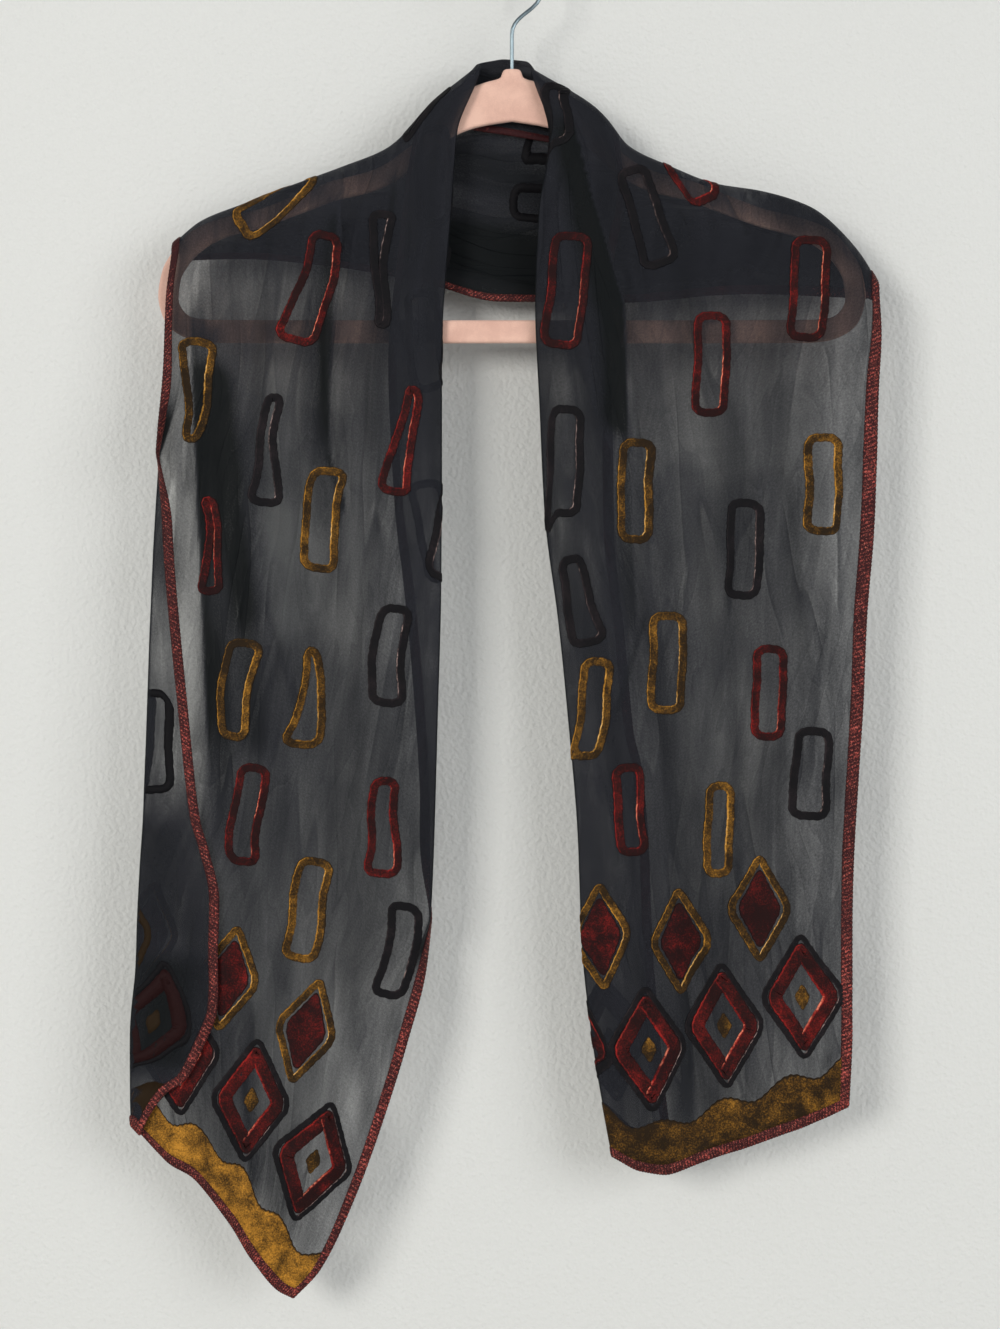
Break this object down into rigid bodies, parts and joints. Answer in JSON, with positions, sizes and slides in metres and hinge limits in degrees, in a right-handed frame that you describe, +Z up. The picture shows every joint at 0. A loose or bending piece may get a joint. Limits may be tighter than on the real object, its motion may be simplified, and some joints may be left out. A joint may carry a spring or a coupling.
{
  "type": "velvet scarf on a hanger",
  "caption": "Long sheer burnout velvet scarf with bound edges, draped over the shoulders of a slim flocked hanger, its ends hanging open in front.",
  "frame": {"origin": "top of the inside of the hanger's hook, where a rail carries it", "axes": "+Z up, the scarf's ends hang towards -Z; -Y is the front, where the ends hang; +X is to the right as seen from the front"},
  "size_m": [0.4692, 0.034, 0.845],
  "materials": {
    "sheer_cloth": "sheer chiffon ground with raised velvet pile motifs",
    "velvet_tape": "crushed red velvet tape",
    "flocked_body": "pale pink flocking",
    "wire": "bright steel wire"
  },
  "bodies": {
    "root": {"cloth_left_end": "sheer_cloth", "cloth_behind_neck": "sheer_cloth", "cloth_right_end": "sheer_cloth", "outer_binding_left": "velvet_tape", "outer_binding_back": "velvet_tape", "outer_binding_right": "velvet_tape", "inner_binding_left": "velvet_tape", "inner_binding_back": "velvet_tape", "inner_binding_right": "velvet_tape", "hem_binding_left": "velvet_tape", "hem_binding_right": "velvet_tape", "hanger_body": "flocked_body", "hook": "wire"}
  },
  "joints": []
}
